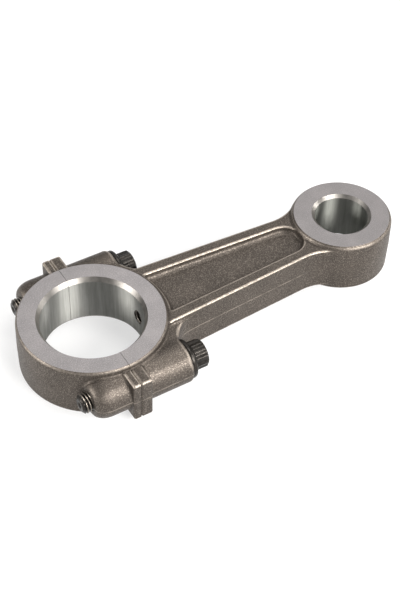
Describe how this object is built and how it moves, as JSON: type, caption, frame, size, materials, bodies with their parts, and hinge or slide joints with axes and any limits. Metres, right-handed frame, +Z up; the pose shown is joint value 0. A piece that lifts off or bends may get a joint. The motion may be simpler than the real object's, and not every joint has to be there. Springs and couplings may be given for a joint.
{
  "type": "connecting rod",
  "caption": "Split connecting rod with a pocketed I-section shank, a bearing cap held by flanged screws round the crank-pin bore, and a plain one-piece piston-pin end.",
  "frame": {"origin": "middle of the lower machined face's plane, under the centre of the rod's overall length and width", "axes": "+X along the rod from the crank-pin bore to the piston-pin bore, +Y across it, +Z up along both bores"},
  "size_m": [0.166, 0.0752, 0.0224],
  "materials": {
    "cast_alloy": "grit-blasted casting, with turned side faces and honed bores",
    "black_steel": "black oxide"
  },
  "bodies": {
    "rod": {"rod_body": "cast_alloy"},
    "cap": {"bearing_cap": "cast_alloy"},
    "screw_left": {"cap_screw_left": "black_steel"},
    "screw_right": {"cap_screw_right": "black_steel"}
  },
  "joints": [
    {"name": "cap_lift_off", "type": "slide", "parent": "rod", "child": "cap", "axis": [-1, 0, 0], "range_m": [0, 0.03]},
    {"name": "screw_left_travel", "type": "slide", "parent": "rod", "child": "screw_left", "axis": [1, 0, 0], "range_m": [0, 0.046]},
    {"name": "screw_right_travel", "type": "slide", "parent": "rod", "child": "screw_right", "axis": [1, 0, 0], "range_m": [0, 0.046]}
  ]
}
